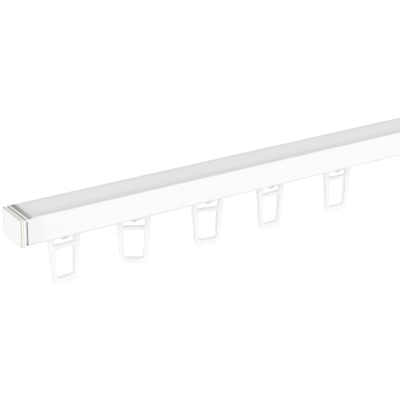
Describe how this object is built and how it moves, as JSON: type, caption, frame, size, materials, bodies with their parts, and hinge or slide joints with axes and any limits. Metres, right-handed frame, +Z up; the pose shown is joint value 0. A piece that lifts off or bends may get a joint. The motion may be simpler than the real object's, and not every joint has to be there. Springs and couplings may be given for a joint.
{
  "type": "curtain track",
  "caption": "White box-section curtain track, slotted below and closed by end caps, with sliding runners that carry swivelling eyelets for curtain hooks.",
  "frame": {"origin": "middle of the ceiling face, the flat top of the track", "axes": "+X along the track, from the end cap at the left of the picture to the other one; +Z up, out of the ceiling face; -Y towards the room, the front in the picture"},
  "size_m": [0.6068, 0.0204, 0.0431],
  "materials": {
    "track_coating": "white powder coating on extruded aluminium, satin",
    "cap_plastic": "white moulded plastic, semi-gloss",
    "glider_plastic": "white acetal, slightly translucent, semi-gloss"
  },
  "bodies": {
    "track": {"track_profile": "track_coating", "end_cap_left": "cap_plastic", "end_cap_right": "cap_plastic"},
    "runner_01": {"glider_01_runner": "glider_plastic"},
    "eyelet_01": {"glider_01_eyelet": "glider_plastic"},
    "runner_02": {"glider_02_runner": "glider_plastic"},
    "eyelet_02": {"glider_02_eyelet": "glider_plastic"},
    "runner_03": {"glider_03_runner": "glider_plastic"},
    "eyelet_03": {"glider_03_eyelet": "glider_plastic"},
    "runner_04": {"glider_04_runner": "glider_plastic"},
    "eyelet_04": {"glider_04_eyelet": "glider_plastic"},
    "runner_05": {"glider_05_runner": "glider_plastic"},
    "eyelet_05": {"glider_05_eyelet": "glider_plastic"},
    "runner_06": {"glider_06_runner": "glider_plastic"},
    "eyelet_06": {"glider_06_eyelet": "glider_plastic"},
    "runner_07": {"glider_07_runner": "glider_plastic"},
    "eyelet_07": {"glider_07_eyelet": "glider_plastic"},
    "runner_08": {"glider_08_runner": "glider_plastic"},
    "eyelet_08": {"glider_08_eyelet": "glider_plastic"},
    "runner_09": {"glider_09_runner": "glider_plastic"},
    "eyelet_09": {"glider_09_eyelet": "glider_plastic"},
    "runner_10": {"glider_10_runner": "glider_plastic"},
    "eyelet_10": {"glider_10_eyelet": "glider_plastic"}
  },
  "joints": [
    {"name": "glider_01_slide", "type": "slide", "parent": "track", "child": "runner_01", "axis": [1, 0, 0], "range_m": [-0.0067, 0.0197]},
    {"name": "glider_01_swivel", "type": "hinge", "parent": "runner_01", "child": "eyelet_01", "pos_m": [-0.276, 0, 0], "axis": [0, 0, 1], "continuous": true},
    {"name": "glider_02_slide", "type": "slide", "parent": "track", "child": "runner_02", "axis": [1, 0, 0], "range_m": [-0.0197, 0.0247]},
    {"name": "glider_02_swivel", "type": "hinge", "parent": "runner_02", "child": "eyelet_02", "pos_m": [-0.236, 0, 0], "axis": [0, 0, 1], "continuous": true},
    {"name": "glider_03_slide", "type": "slide", "parent": "track", "child": "runner_03", "axis": [1, 0, 0], "range_m": [-0.0247, 0.0207]},
    {"name": "glider_03_swivel", "type": "hinge", "parent": "runner_03", "child": "eyelet_03", "pos_m": [-0.191, 0, 0], "axis": [0, 0, 1], "continuous": true},
    {"name": "glider_04_slide", "type": "slide", "parent": "track", "child": "runner_04", "axis": [1, 0, 0], "range_m": [-0.0207, 0.0257]},
    {"name": "glider_04_swivel", "type": "hinge", "parent": "runner_04", "child": "eyelet_04", "pos_m": [-0.15, 0, 0], "axis": [0, 0, 1], "continuous": true},
    {"name": "glider_05_slide", "type": "slide", "parent": "track", "child": "runner_05", "axis": [1, 0, 0], "range_m": [-0.0257, 0.1877]},
    {"name": "glider_05_swivel", "type": "hinge", "parent": "runner_05", "child": "eyelet_05", "pos_m": [-0.104, 0, 0], "axis": [0, 0, 1], "continuous": true},
    {"name": "glider_06_slide", "type": "slide", "parent": "track", "child": "runner_06", "axis": [1, 0, 0], "range_m": [-0.1877, 0.0257]},
    {"name": "glider_06_swivel", "type": "hinge", "parent": "runner_06", "child": "eyelet_06", "pos_m": [0.104, 0, 0], "axis": [0, 0, 1], "continuous": true},
    {"name": "glider_07_slide", "type": "slide", "parent": "track", "child": "runner_07", "axis": [1, 0, 0], "range_m": [-0.0257, 0.0207]},
    {"name": "glider_07_swivel", "type": "hinge", "parent": "runner_07", "child": "eyelet_07", "pos_m": [0.15, 0, 0], "axis": [0, 0, 1], "continuous": true},
    {"name": "glider_08_slide", "type": "slide", "parent": "track", "child": "runner_08", "axis": [1, 0, 0], "range_m": [-0.0207, 0.0247]},
    {"name": "glider_08_swivel", "type": "hinge", "parent": "runner_08", "child": "eyelet_08", "pos_m": [0.191, 0, 0], "axis": [0, 0, 1], "continuous": true},
    {"name": "glider_09_slide", "type": "slide", "parent": "track", "child": "runner_09", "axis": [1, 0, 0], "range_m": [-0.0247, 0.0197]},
    {"name": "glider_09_swivel", "type": "hinge", "parent": "runner_09", "child": "eyelet_09", "pos_m": [0.236, 0, 0], "axis": [0, 0, 1], "continuous": true},
    {"name": "glider_10_slide", "type": "slide", "parent": "track", "child": "runner_10", "axis": [1, 0, 0], "range_m": [-0.0197, 0.0067]},
    {"name": "glider_10_swivel", "type": "hinge", "parent": "runner_10", "child": "eyelet_10", "pos_m": [0.276, 0, 0], "axis": [0, 0, 1], "continuous": true}
  ]
}
